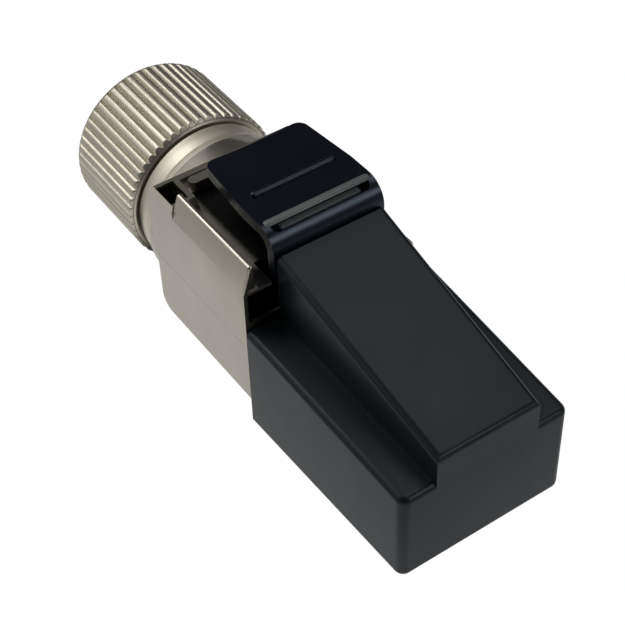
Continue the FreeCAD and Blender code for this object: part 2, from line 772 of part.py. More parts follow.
def make_lower_housing():
    """Lower casting: tray with a front opening for the insert and half of the neck seat."""
    body = start_body("lower_housing")
    side = box_corners("housing_front", "housing_bottom", "housing_rear", "lower_top")
    pad(body, "shell", polygon(body, "shell_side", "YZ_Plane", side), "housing_width")
    finish_edges(
        body, "Fillet", "rear_round", "rear_round",
        lambda a, b: along(a, b, 0)
        and both_near(a, b, 1, "housing_rear")
        and both_near(a, b, 2, "housing_bottom"),
    )
    finish_edges(
        body, "Fillet", "bottom_round", "bottom_round",
        lambda a, b: along(a, b, 1) and both_near(a, b, 2, "housing_bottom"),
    )
    turn(body, "neck_flange", neck_flange_section())
    boss = box_corners("rear_block_front - front_wall / 2", "neck_radius",
                       "housing_rear", "flange_rear_radius")
    turn(body, "neck_boss", boss)
    above = box_corners("-housing_width", "lower_top", "housing_width", "rail_top")
    above_section = polygon(body, "above_section", "XZ_Plane", above, offset="housing_front")
    pocket(body, "parting_cut", above_section, "2 * housing_length", 1)
    flat = box_corners("-housing_width", "-housing_bottom", "housing_width", "flange_flat")
    flat_section = polygon(body, "flat_section", "XZ_Plane", flat, offset="housing_front")
    pocket(body, "flange_flat_cut", flat_section, "2 * housing_length", 1)
    tray = box_corners("-inner_side", "front_wall_end", "inner_side", "rear_block_front")
    tray_plan = polygon(body, "tray_plan", "XY_Plane", tray, offset="lower_top")
    pocket(body, "tray", tray_plan, "lower_top - inner_floor", -1)
    half_door = "tail_width / 2 + insert_fit"
    door = box_corners(f"-({half_door})", "tail_bottom - insert_fit", half_door, "lower_top")
    door_face = polygon(body, "door_face", "XZ_Plane", door, offset="housing_front")
    pocket(body, "insert_door", door_face, "front_wall", 1)
    ledge = box_corners("board_rear_width / 2 - side_wall / 2", "inner_floor - floor_wall / 2",
                        "inner_side + side_wall / 2", "board_bottom - board_fit")
    ledge_section = mirrored_polygons(body, "ledge_section", "XZ_Plane", ledge, offset="board_step")
    pad(body, "board_ledges", ledge_section, "rear_block_front - board_step", 1)
    cut_neck_seat(body)


def make_upper_housing():
    """Upper casting: latch deck with a leaning rail, latch bay, rear pocket and lug; bevelled right flank."""
    body = start_body("upper_housing")
    side = [
        ("housing_front", "parting_level"),
        ("housing_rear", "parting_level"),
        ("housing_rear", "rear_top"),
        ("rail_end", "rear_top"),
        ("rail_end", "deck_level"),
        ("housing_front", "deck_level"),
    ]
    pad(body, "shell", polygon(body, "shell_side", "YZ_Plane", side), "housing_width")
    finish_edges(
        body, "Chamfer", "rear_bevel", "top_chamfer",
        lambda a, b: min(a.y, b.y) > number("rail_end") - 0.01
        and both_near(a, b, 2, "rear_top")
        and (sides_near(a, b, "housing_width / 2") or both_near(a, b, 1, "housing_rear")),
    )
    flank = [
        ("housing_width / 2", "flank_level"),
        ("housing_width / 2 + top_chamfer", "flank_level"),
        ("housing_width / 2 + top_chamfer", "rear_top"),
        ("housing_width / 2 - flank_inset", "rear_top"),
    ]
    flank_section = polygon(body, "flank_section", "XZ_Plane", flank, offset="housing_front")
    pocket(body, "right_flank", flank_section, "housing_length", 1)
    rail = [
        ("-housing_width / 2", "deck_level"),
        ("-housing_width / 2 + rail_lean + rail_thickness", "deck_level"),
        ("-housing_width / 2 + rail_lean + rail_thickness", "rail_top"),
        ("-housing_width / 2 + rail_lean", "rail_top"),
        ("-housing_width / 2", "side_top"),
    ]
    rail_section = polygon(body, "rail_section", "XZ_Plane", rail, offset="housing_front")
    pad(body, "rail", rail_section, "rail_end - housing_front", 1)
    turn(body, "neck_flange", neck_flange_section())
    below = box_corners("-housing_width", "-housing_bottom", "housing_width", "parting_level")
    below_section = polygon(body, "below_section", "XZ_Plane", below, offset="housing_front")
    pocket(body, "parting_cut", below_section, "2 * housing_length", 1)

    room = [
        ("-inner_side", "parting_level"),
        ("inner_side", "parting_level"),
        ("inner_side", "flank_level + flank_slope * (side_wall - flank_wall)"),
        ("housing_width / 2 - flank_wall - (inner_top - flank_level) / flank_slope", "inner_top"),
        ("-inner_side", "inner_top"),
    ]
    room_section = polygon(body, "room_section", "XZ_Plane", room, offset="bay_wall_end")
    pocket(body, "clamp_room", room_section, "rear_block_front - bay_wall_end", 1)
    porch = box_corners("-inner_side", "front_wall_end", "inner_side", "bay_wall_end")
    porch_plan = polygon(body, "porch_plan", "XY_Plane", porch, offset="parting_level")
    pocket(body, "porch", porch_plan, "porch_rise", 1)
    half_bay = "housing_width / 2 - latch_bay_side"
    bay = box_corners(f"-({half_bay})", "ledge_level", "0", "deck_level - deck_lip")
    bay_face = polygon(body, "bay_face", "XZ_Plane", bay, offset="housing_front")
    pocket(body, "latch_bay", bay_face, "latch_bay_depth", 1)
    notch = box_corners("-latch_room", "housing_front", "housing_width / 2", "bay_wall_front")
    notch_plan = polygon(body, "notch_plan", "XY_Plane", notch, offset="ledge_level")
    pocket(body, "latch_notch", notch_plan, "rail_top - ledge_level", 1)
    sill_back = "housing_front + sill_thickness"
    sump = box_corners(f"-({half_bay})", sill_back, "inner_side", "bay_wall_front")
    sump_plan = polygon(body, "sump_plan", "XY_Plane", sump, offset="ledge_level")
    pocket(body, "bay_sump", sump_plan, "sill_depth", -1)

    rest = box_corners("-latch_room", "rail_end", "housing_width / 2", "plate_end + latch_swing_room")
    rest_plan = polygon(body, "rest_plan", "XY_Plane", rest, offset="deck_level")
    pocket(body, "plate_rest", rest_plan, "rear_top - deck_level", 1)

    well = box_corners("-pocket_side", "pocket_rear - pocket_length",
                       "-pocket_side + pocket_width", "pocket_rear")
    well_plan = polygon(body, "well_plan", "XY_Plane", well, offset="rear_top")
    pocket(body, "rear_pocket", well_plan, "pocket_depth", -1)
    lug_middle = "plate_end + latch_swing_room + lug_radius"
    recess = box_corners(
        "lug_place - 2 * lug_radius", "rail_end",
        "lug_place + lug_length", f"{lug_middle} + 1.6 * lug_radius",
    )
    recess_plan = polygon(body, "recess_plan", "XY_Plane", recess, offset="rear_top")
    pocket(body, "lug_recess", recess_plan, "lug_recess", -1)
    lug_foot = "rear_top - 1.2 * lug_recess"
    lug_plan = circle(body, "lug_plan", "XY_Plane", ("lug_place", lug_middle), "lug_radius", offset=lug_foot)
    pad(body, "lug_end", lug_plan, "1.2 * lug_recess + lug_height", 1)
    lug_bar = box_corners("lug_place", f"{lug_middle} - lug_radius",
                          "lug_place + 1.2 * lug_length", f"{lug_middle} + lug_radius")
    bar_plan = polygon(body, "lug_bar_plan", "XY_Plane", lug_bar, offset=lug_foot)
    pad(body, "lug_bar", bar_plan, "1.2 * lug_recess + lug_height", 1)
    cut_neck_seat(body)


def make_neck_collar():
    """Turned neck: key ring held by the castings, stepped collar in view, and the gland thread."""
    body = start_body("neck_collar")
    step = "collar_length / 4"
    turn(body, "neck", [
        ("neck_start", "neck_bore_radius"),
        ("neck_start", "neck_radius"),
        ("key_start", "neck_radius"),
        ("key_start", "neck_key_radius"),
        ("key_end", "neck_key_radius"),
        ("key_end", "neck_radius"),
        ("collar_start", "neck_radius"),
        ("collar_start", "collar_front_radius"),
        (f"collar_start + {step}", "collar_front_radius - collar_groove / 2"),
        (f"collar_start + {step} + collar_groove", "collar_front_radius - 1.5 * collar_groove"),
        (f"collar_start + 2 * {step}", "collar_front_radius - 1.5 * collar_groove"),
        (f"collar_start + 2 * {step} + collar_groove", "collar_rear_radius + collar_groove / 2"),
        ("collar_end", "collar_rear_radius"),
        ("collar_end", "thread_radius"),
        ("neck_end", "thread_radius"),
        ("neck_end", "neck_bore_radius"),
    ])


def make_shield_spring():
    """Open spring ring that presses the cable's braid against the neck seat."""
    body = start_body("shield_spring")
    start = "rear_block_front + axial_fit"
    end = "spring_seat_end - axial_fit"
    turn(body, "ring", [
        (start, "spring_ring_radius"),
        (f"({start} + {end}) / 2", "spring_ring_radius - spring_ring_wave"),
        (end, "spring_ring_radius"),
        (end, "spring_ring_radius - spring_ring_sheet"),
        (f"({start} + {end}) / 2", "spring_ring_radius - spring_ring_wave - spring_ring_sheet"),
        (start, "spring_ring_radius - spring_ring_sheet"),
    ], angle="spring_ring_angle")


def make_clamp_collet():
    """Split collet whose fingers close on the cable as the nut tightens."""
    body = start_body("clamp_collet")
    turn(body, "collet", [
        ("collet_front", "collet_inner"),
        ("collet_front", "collet_radius"),
        ("collet_front + collet_base", "collet_radius"),
        ("collet_rear", "collet_tip_radius"),
        ("collet_rear", "collet_inner"),
    ])
    slot = box_corners("-collet_slot_width / 2", "0", "collet_slot_width / 2", "collet_radius + axial_fit")
    slot_start = "collet_front + collet_base"
    slot_face = polygon(body, "slot_face", "XZ_Plane", slot, offset=slot_start, rise="axis_level")
    first = pocket(body, "finger_slot", slot_face, "collet_rear - collet_front", 1)
    round_the_axis(body, "finger_slots", first, slot_face, "collet_slots")


def round_the_axis(body, name, feature, sketch, count):
    """Repeat a feature evenly round the cable axis."""
    pattern = body.newObject("PartDesign::PolarPattern", name)
    pattern.Originals = [feature]
    pattern.Axis = (sketch, ["N_Axis"])
    pattern.Angle = 360
    pattern.setExpression("Occurrences", bound(count))
    body.Tip = pattern


def make_cable_seal():
    """Rubber sleeve inside the collet."""
    body = start_body("cable_seal")
    corners = box_corners("collet_front", "seal_inner", "collet_rear", "seal_outer")
    turn(body, "sleeve", corners)


def make_thrust_ring():
    """Washer that lets the nut turn without twisting the collet."""
    body = start_body("thrust_ring")
    corners = box_corners("ring_front", "ring_inner", "ring_rear", "ring_inner + ring_width")
    turn(body, "washer", corners)


def make_gland_nut():
    """Turned nut: straight knurl that runs out over the stepped rear round, thread bore, ring seat, hole."""
    body = start_body("gland_nut")
    turn(body, "nut", [
        ("nut_front", "nut_bore_radius"),
        ("nut_front", "nut_radius - nut_chamfer"),
        ("nut_front + nut_chamfer", "nut_radius"),
        ("nut_rear - nut_rear_round", "nut_radius"),
        ("nut_rear - 0.3 * nut_rear_round", "nut_radius - 0.3 * nut_rear_round"),
        ("nut_rear", "nut_radius - nut_rear_round"),
        ("nut_rear", "nut_hole_radius"),
        ("nut_inner_end", "nut_hole_radius"),
        ("nut_inner_end", "ring_inner + ring_width + axial_fit"),
        ("ring_front - thread_fit", "ring_inner + ring_width + axial_fit"),
        ("ring_front - ring_thickness", "nut_bore_radius"),
    ])
    valley = [
        ("-knurl_width / 2", "nut_radius + knurl_depth / 2"),
        ("0", "nut_radius - knurl_depth"),
        ("knurl_width / 2", "nut_radius + knurl_depth / 2"),
    ]
    valley_face = polygon(body, "valley_face", "XZ_Plane", valley, offset="nut_front", rise="axis_level")
    first = pocket(body, "valley", valley_face, "nut_length", 1)
    round_the_axis(body, "knurl", first, valley_face, "knurl_count")


def make_latch_lever():
    """Moulded latch: hinge bead, catch and tab, rolled heel, thumb plate with two grip bars."""
    body = start_body("latch_lever")
    bead = circle(body, "bead_side", "YZ_Plane", ("bead_place", "bead_level"), "bead_radius")
    pad(body, "bead", bead, "tab_catch_width")

    def tab_side(end):
        """Sloping strip that rises from the bead to a place along the tunnel."""
        front = "(bead_place - tab_neck / 2)"
        back = "(bead_place + tab_neck / 2)"
        return [
            (front, "bead_level"),
            (back, "bead_level"),
            (back, f"tab_rise - tab_thickness + slope * {back}"),
            (end, f"tab_rise - tab_thickness + slope * ({end})"),
            (end, f"tab_rise + slope * ({end})"),
            (front, f"tab_rise + slope * {front}"),
        ]

    catch = polygon(body, "catch_side", "YZ_Plane", tab_side("tab_catch_end"))
    pad(body, "catch", catch, "tab_catch_width")
    tab = polygon(body, "tab_side", "YZ_Plane", tab_side("heel_front + heel_thickness / 2"))
    pad(body, "tab", tab, "tab_width")
    heel_bottom = "tab_rise - tab_thickness + slope * heel_front"
    thumb = [
        ("heel_front", heel_bottom),
        ("heel_rear", heel_bottom),
        ("heel_rear", "plate_top - plate_thickness"),
        ("plate_end", "plate_rear_top - plate_thickness"),
        ("plate_end", "plate_rear_top"),
        ("heel_front + heel_round", "plate_top"),
        ("heel_front", "plate_top"),
    ]
    pad(body, "thumb", polygon(body, "thumb_side", "YZ_Plane", thumb), "latch_width")
    finish_edges(
        body, "Fillet", "heel_roll", "heel_round - 0.01",
        lambda a, b: along(a, b, 0) and both_near(a, b, 1, "heel_front") and both_near(a, b, 2, "plate_top"),
    )
    finish_edges(
        body, "Fillet", "heel_inner_roll", "heel_round - heel_thickness",
        lambda a, b: along(a, b, 0)
        and both_near(a, b, 1, "heel_rear")
        and both_near(a, b, 2, "plate_top - plate_thickness"),
    )
    flare = [
        ("latch_width / 2", "plate_end - flare_length"),
        ("latch_width / 2 + latch_overhang", "plate_end - flare_length"),
        ("latch_width / 2 + latch_overhang", "plate_end"),
        ("latch_width / 2 - flare_inset", "plate_end"),
    ]
    flare_plan = mirrored_polygons(body, "flare_plan", "XY_Plane", flare, offset="tunnel_front_height")
    pocket(body, "plate_flare", flare_plan, "plate_top - tunnel_front_height", 1)
    finish_edges(
        body, "Fillet", "plate_corners", "plate_corner_round",
        lambda a, b: along(a, b, 2) and both_near(a, b, 1, "plate_end"),
    )
    low = "tunnel_front_height"
    hollow_centre = ("0", "plate_end + hollow_radius - hollow_depth")
    hollow_plan = circle(body, "hollow_plan", "XY_Plane", hollow_centre, "hollow_radius", offset=low)
    pocket(body, "plate_hollow", hollow_plan, f"plate_top - {low}", 1)
    bay = box_corners("-bay_length / 2", "heel_front + bay_setback - bay_width / 2",
                      "bay_length / 2", "heel_front + bay_setback + bay_width / 2")
    bay_plan = polygon(body, "bay_plan", "XY_Plane", bay, offset="bay_bottom")
    pocket(body, "grip_bay", bay_plan, "2 * bay_floor", 1)
    finish_edges(
        body, "Fillet", "bay_ends", "bay_width * 0.48",
        lambda a, b: along(a, b, 2) and sides_near(a, b, "bay_length / 2"),
    )
    inner_bar = box_corners("-bar_length / 2", "heel_front + bay_setback - bar_width / 2",
                            "bar_length / 2", "heel_front + bay_setback + bar_width / 2")
    inner_plan = polygon(body, "inner_bar_plan", "XY_Plane", inner_bar, offset="bay_bottom - bar_height / 2")
    pad(body, "inner_bar", inner_plan, "1.5 * bar_height", 1)
    outer_bar = box_corners("-bar_length / 2", "heel_front + bar_setback - bar_width / 2",
                            "bar_length / 2", "heel_front + bar_setback + bar_width / 2")
    bar_foot = "plate_rear_top - bar_height / 2"
    outer_plan = polygon(body, "outer_bar_plan", "XY_Plane", outer_bar, offset=bar_foot)
    pad(body, "outer_bar", outer_plan, "plate_drop + 1.5 * bar_height", 1)
    finish_edges(
        body, "Fillet", "bar_ends", "bar_width * 0.48",
        lambda a, b: along(a, b, 2) and sides_near(a, b, "bar_length / 2"),
    )


make_dust_cap()
make_plug_nose()
make_nose_shield()
for number_of_contact in range(8):
    make_contact(number_of_contact)
make_circuit_board()
make_idc_carrier()
for number_of_fork in range(8):
    make_idc_contact(number_of_fork)
make_wire_manager()
make_lower_housing()
make_upper_housing()
make_neck_collar()
make_shield_spring()
make_clamp_collet()
make_cable_seal()
make_thrust_ring()
make_gland_nut()
make_latch_lever()

doc.recompute()
for item in doc.Objects:
    if "Invalid" in item.State or "Error" in item.State:
        raise ValueError(f"{item.Label} failed to build: {item.State}")
for subpart in subparts:
    if subpart.Shape.isNull() or not subpart.Shape.isValid() or len(subpart.Shape.Solids) != 1:
        raise ValueError(f"{subpart.Label} is not one valid solid")

os.makedirs("parts", exist_ok=True)
for subpart in subparts:
    subpart.Shape.exportStep(f"parts/{subpart.Label}.step")
    print(f"{subpart.Label}: {subpart.Shape.Volume:.2f} mm3")
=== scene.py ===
import math

import bmesh
import bpy
from mathutils import Matrix, Vector


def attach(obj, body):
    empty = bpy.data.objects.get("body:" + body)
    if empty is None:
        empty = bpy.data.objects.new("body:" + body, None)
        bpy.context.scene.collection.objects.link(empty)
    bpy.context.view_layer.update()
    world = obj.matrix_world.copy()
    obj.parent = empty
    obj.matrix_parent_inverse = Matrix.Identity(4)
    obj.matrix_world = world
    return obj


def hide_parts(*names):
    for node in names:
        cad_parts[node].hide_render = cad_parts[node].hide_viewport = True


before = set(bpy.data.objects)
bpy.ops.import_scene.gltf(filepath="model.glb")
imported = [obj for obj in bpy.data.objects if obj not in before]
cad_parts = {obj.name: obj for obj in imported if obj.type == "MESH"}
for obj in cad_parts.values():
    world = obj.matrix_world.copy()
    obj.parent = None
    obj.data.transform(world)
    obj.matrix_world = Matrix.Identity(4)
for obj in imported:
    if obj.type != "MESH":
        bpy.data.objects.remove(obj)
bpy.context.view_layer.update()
scene = bpy.context.scene

# Camera
# The photograph looks down on the plug from its left front, from about eleven centimetres.
# Place and turn were fitted to the edges of cap, housing and nut.
MM = 0.001
camera_place = Vector((-43.22, -67.75, 83.72)) * MM
camera_right = Vector((0.82230, -0.56847, -0.02571))
camera_up = Vector((0.41744, 0.57189, 0.70618))
camera_back = Vector((-0.38674, -0.59142, 0.70757))
camera_lens = 91.25
camera_film = 36.0

camera_data = bpy.data.cameras.new("photo_camera")
camera_data.sensor_width = camera_film
camera_data.lens = camera_lens
camera_data.clip_start = 0.005
camera_data.clip_end = 10.0
camera = bpy.data.objects.new("photo_camera", camera_data)
scene.collection.objects.link(camera)
turn = Matrix((camera_right, camera_up, camera_back)).transposed().to_4x4()
camera.matrix_world = Matrix.Translation(camera_place) @ turn
scene.camera = camera
scene.view_settings.view_transform = "Standard"

# Table and light
# A white table that runs out of view, in the soft light of a product studio: one wide lamp behind
# the plug's left, and smaller ones behind, over and before it. The table keeps a faint shadow,
# and mirrors in the plug a little darker the further it lies from it.
table_size = 1.2
table_own_light = 0.93
table_glow = 1.06
table_near_mirrored = 0.60
table_far_mirrored = 0.14
table_near, table_far = 0.016, 0.045
table_white = (0.80, 0.80, 0.80, 1.0)
room_white = (1.0, 1.0, 1.0, 1.0)
room_light = 0.06
lamp_aim = Vector((0, 0, 0.006))
lamps = [
    # name, place, size, power
    ("top_lamp", (0.17, 0.02, 0.41), 0.20, 0.30),
    ("back_top_lamp", (-0.10, 0.28, 0.38), 0.20, 0.62),
    ("back_left_lamp", (-0.36, 0.33, 0.36), 0.62, 1.00),
    ("front_lamp", (0.17, -0.34, 0.24), 0.14, 0.34),
]

table_mesh = bpy.data.meshes.new("table")
half = table_size / 2
table_mesh.from_pydata(
    [(-half, -half, 0), (half, -half, 0), (half, half, 0), (-half, half, 0)], [], [(0, 1, 2, 3)]
)
table = bpy.data.objects.new("table", table_mesh)
scene.collection.objects.link(table)

table_finish = bpy.data.materials.new("white_table")
table_finish.use_nodes = True
nodes, links = table_finish.node_tree.nodes, table_finish.node_tree.links
nodes.clear()
output = nodes.new("ShaderNodeOutputMaterial")
cloth = nodes.new("ShaderNodeBsdfDiffuse")
cloth.inputs["Color"].default_value = table_white
glow = nodes.new("ShaderNodeEmission")
glow.inputs["Strength"].default_value = table_glow
path = nodes.new("ShaderNodeLightPath")
spot = nodes.new("ShaderNodeTexCoord")
distance = nodes.new("ShaderNodeVectorMath")
distance.operation = "LENGTH"
fall = nodes.new("ShaderNodeMapRange")
fall.inputs["From Min"].default_value = table_near
fall.inputs["From Max"].default_value = table_far
fall.inputs["To Min"].default_value = table_near_mirrored
fall.inputs["To Max"].default_value = table_far_mirrored
mirrored = nodes.new("ShaderNodeMath")
mirrored.operation = "MULTIPLY"
share = nodes.new("ShaderNodeMath")
share.operation = "MULTIPLY_ADD"
share.inputs[1].default_value = table_own_light
mix = nodes.new("ShaderNodeMixShader")
links.new(spot.outputs["Object"], distance.inputs[0])
links.new(distance.outputs["Value"], fall.inputs["Value"])
links.new(fall.outputs["Result"], mirrored.inputs[0])
links.new(path.outputs["Is Glossy Ray"], mirrored.inputs[1])
links.new(path.outputs["Is Camera Ray"], share.inputs[0])
links.new(mirrored.outputs[0], share.inputs[2])
links.new(share.outputs[0], mix.inputs["Fac"])
links.new(cloth.outputs[0], mix.inputs[1])
links.new(glow.outputs[0], mix.inputs[2])
links.new(mix.outputs[0], output.inputs["Surface"])
table_mesh.materials.append(table_finish)

world = bpy.data.worlds.new("studio")
world.use_nodes = True
scene.world = world
nodes, links = world.node_tree.nodes, world.node_tree.links
nodes.clear()
output = nodes.new("ShaderNodeOutputWorld")
backdrop = nodes.new("ShaderNodeBackground")
backdrop.inputs["Strength"].default_value = 1.0
room = nodes.new("ShaderNodeBackground")
room.inputs["Color"].default_value = room_white
room.inputs["Strength"].default_value = room_light
path = nodes.new("ShaderNodeLightPath")
mix = nodes.new("ShaderNodeMixShader")
links.new(path.outputs["Is Camera Ray"], mix.inputs["Fac"])
links.new(room.outputs[0], mix.inputs[1])
links.new(backdrop.outputs[0], mix.inputs[2])
links.new(mix.outputs[0], output.inputs["Surface"])

for name, place, size, power in lamps:
    lamp_data = bpy.data.lights.new(name, "AREA")
    lamp_data.shape = "SQUARE"
    lamp_data.size = size
    lamp_data.energy = power
    lamp = bpy.data.objects.new(name, lamp_data)
    scene.collection.objects.link(lamp)
    aim = (lamp_aim - Vector(place)).to_track_quat("-Z", "Y").to_matrix().to_4x4()
    lamp.matrix_world = Matrix.Translation(place) @ aim

# Dust cap
# Moulded in matte black plastic: a box that narrows to its closed front, with a raised tunnel
# that clears the latch. It is pushed on over the nose and held by friction.
cap_edge = 0.06
cap_colour = (0.0065, 0.0105, 0.0130, 1.0)
cap_sheen = (0.86, 0.93, 1.0, 1.0)
cap_roughness = 0.38
cap_shine = 0.27
edge_steps = 2
edge_angle = math.radians(28)
soft_steps = 4
flat_bend = math.radians(1)
crisp_bend = math.radians(40)
crisp_bend_of_wide_faces = math.radians(10)
wide_face = 6.0


def crease(line):
    """Whether an edge stays a crisp line: a strong bend, or a slight one between two wide faces."""
    if len(line.link_faces) != 2:
        return False
    bend = line.calc_face_angle()
    wide = min(side.calc_area() for side in line.link_faces) > wide_face * MM * MM
    return bend > crisp_bend or (wide and bend > crisp_bend_of_wide_faces)


def finished_copy(node, piece_name, edge, softer=None, soft_width=0.0):
    """The solid's surface with clean faces, and its sharp edges broken by a small round.

    Edges that the test softer accepts, by their two ends in millimetres, get a wider round.
    """
    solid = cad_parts[node]
    mesh = bpy.data.meshes.new(piece_name)
    surface = bmesh.new()
    surface.from_mesh(solid.data)
    bmesh.ops.transform(surface, matrix=solid.matrix_world, verts=surface.verts)
    bmesh.ops.remove_doubles(surface, verts=surface.verts, dist=0.002 * MM)
    bmesh.ops.dissolve_limit(
        surface, angle_limit=flat_bend, verts=surface.verts, edges=surface.edges,
        use_dissolve_boundaries=False, delimit=set(),
    )
    if softer:
        chosen = [
            line for line in surface.edges if softer(line.verts[0].co / MM, line.verts[1].co / MM)
        ]
        bmesh.ops.bevel(
            surface, geom=chosen, offset=soft_width * MM, segments=soft_steps, profile=0.5,
            affect="EDGES", offset_type="OFFSET", clamp_overlap=True,
        )
    for line in surface.edges:
        line.smooth = not crease(line)
    surface.to_mesh(mesh)
    surface.free()
    piece = bpy.data.objects.new(piece_name, mesh)
    scene.collection.objects.link(piece)
    bevel = piece.modifiers.new("broken_edges", "BEVEL")
    bevel.width = edge * MM
    bevel.segments = edge_steps
    bevel.limit_method = "ANGLE"
    bevel.angle_limit = edge_angle
    bevel.use_clamp_overlap = True
    bevel.harden_normals = True
    for face in mesh.polygons:
        face.use_smooth = True
    return piece


def give(piece, material):
    """One material on the whole piece."""
    piece.data.materials.clear()
    piece.data.materials.append(material)
    for face in piece.data.polygons:
        face.material_index = 0


def moulded_plastic(name, colour, roughness, grain=0.05, depth=0.012, mottle=0.12, shine=0.5,
                    tint=(1.0, 1.0, 1.0, 1.0)):
    """Injection-moulded plastic: fine spark-eroded grain, and slightly uneven gloss and shade."""
    cloud_scale = 260.0
    gloss_spread = 0.05
    material = bpy.data.materials.new(name)
    material.use_nodes = True
    nodes, links = material.node_tree.nodes, material.node_tree.links
    shader = nodes["Principled BSDF"]
    shader.inputs["Metallic"].default_value = 0.0
    shader.inputs["IOR"].default_value = 1.49
    shader.inputs["Specular IOR Level"].default_value = shine
    shader.inputs["Specular Tint"].default_value = tint
    place = nodes.new("ShaderNodeTexCoord")
    fine = nodes.new("ShaderNodeTexNoise")
    fine.inputs["Scale"].default_value = 1.0 / (grain * MM)
    fine.inputs["Detail"].default_value = 3.0
    wide = nodes.new("ShaderNodeTexNoise")
    wide.inputs["Scale"].default_value = cloud_scale
    wide.inputs["Detail"].default_value = 4.0
    links.new(place.outputs["Object"], fine.inputs["Vector"])
    links.new(place.outputs["Object"], wide.inputs["Vector"])
    shade = nodes.new("ShaderNodeMix")
    shade.data_type = "RGBA"
    shade.inputs["A"].default_value = tuple(c * (1 - mottle) for c in colour[:3]) + (1.0,)
    shade.inputs["B"].default_value = tuple(c * (1 + mottle) for c in colour[:3]) + (1.0,)
    links.new(wide.outputs["Fac"], shade.inputs["Factor"])
    links.new(shade.outputs["Result"], shader.inputs["Base Color"])
    gloss = nodes.new("ShaderNodeMapRange")
    gloss.inputs["To Min"].default_value = roughness - gloss_spread
    gloss.inputs["To Max"].default_value = roughness + gloss_spread
    links.new(wide.outputs["Fac"], gloss.inputs["Value"])
    links.new(gloss.outputs["Result"], shader.inputs["Roughness"])
    bump = nodes.new("ShaderNodeBump")
    bump.inputs["Strength"].default_value = 0.35
    bump.inputs["Distance"].default_value = depth * MM
    links.new(fine.outputs["Fac"], bump.inputs["Height"])
    links.new(bump.outputs["Normal"], shader.inputs["Normal"])
    return material


cap_plastic = moulded_plastic("cap_plastic", cap_colour, cap_roughness, shine=cap_shine, tint=cap_sheen)
cap = finished_copy("dust_cap", "dust_cap_shell", cap_edge)
give(cap, cap_plastic)
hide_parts("dust_cap")
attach(cap, "cap")

# Latch lever
# One moulding in glossier black: hinge bead and sprung tab lie in the cap's tunnel, and the heel
# rolls up into a thumb plate. One grip bar lies in a sunk bay and carries three fine serrations,
# the other stands on the plate; the plate's front edge is a raised brow. Serrations and brow carry
# a light grey painted highlight.


def node_box(node):
    """Lowest and highest corner of a solid, in millimetres."""
    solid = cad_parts[node]
    places = [solid.matrix_world @ corner.co / MM for corner in solid.data.vertices]
    low = Vector([min(place[axis] for place in places) for axis in range(3)])
    high = Vector([max(place[axis] for place in places) for axis in range(3)])
    return low, high


lever_high = node_box("latch_lever")[1]
housing_low, housing_high = node_box("upper_housing")
lever_side, lever_top = lever_high.x, lever_high.z
housing_side, housing_front, rail_top = housing_high.x, housing_low.y, housing_high.z
lever_edge = 0.07
bar_edge = 0.23
bar_heights = (lever_top, lever_top - 0.72)
near = 0.02
lever_colour = (0.0012, 0.0020, 0.0055, 1.0)
lever_roughness = 0.30
lever_shine = 0.44
lever_sheen = (0.66, 0.78, 0.95, 1.0)
# Painted highlight: a light grey colour on the serrations and the brow, where they catch light.
painted_highlight_colour = (0.108, 0.124, 0.122, 1.0)
painted_highlight_roughness = 0.40
lever_grain, lever_grain_depth = 0.07, 0.006
serration_count = 3
serration_pitch = 0.17
serration_size = (6.35, 0.075, 0.07)
serration_middle = (0.0, housing_front + 1.15, lever_top - 0.73)
brow_size = (8.4, 0.62, 0.20)
brow_place = (0.0, housing_front + 1.465, lever_top - 0.35)


def rounded_bar(length, width, height):
    """Bar along X with a half-round top and sloping ends, its foot on the origin; in millimetres."""
    round_steps = 5
    foot_share = 0.6
    ends = [(0.5, 0.0), (0.488, 0.7), (0.47, 1.0)]
    bar = bmesh.new()
    rows = []
    for across, lift in [(-far, lift) for far, lift in ends] + ends[::-1]:
        row = []
        for step in range(round_steps + 1):
            swing = math.pi * step / round_steps
            row.append(bar.verts.new(Vector((
                across * length,
                -0.5 * width * math.cos(swing) * (foot_share + (1 - foot_share) * lift),
                height * math.sin(swing) * lift,
            )) * MM))
        rows.append(row)
    for row, after in zip(rows, rows[1:]):
        for i in range(round_steps):
            bar.faces.new((row[i], after[i], after[i + 1], row[i + 1]))
    bmesh.ops.remove_doubles(bar, verts=bar.verts, dist=1e-8)
    bmesh.ops.recalc_face_normals(bar, faces=bar.faces)
    if sum(face.normal.z * face.calc_area() for face in bar.faces) < 0:
        bmesh.ops.reverse_faces(bar, faces=bar.faces)
    mesh = bpy.data.meshes.new("rounded_bar")
    bar.to_mesh(mesh)
    bar.free()
    return mesh


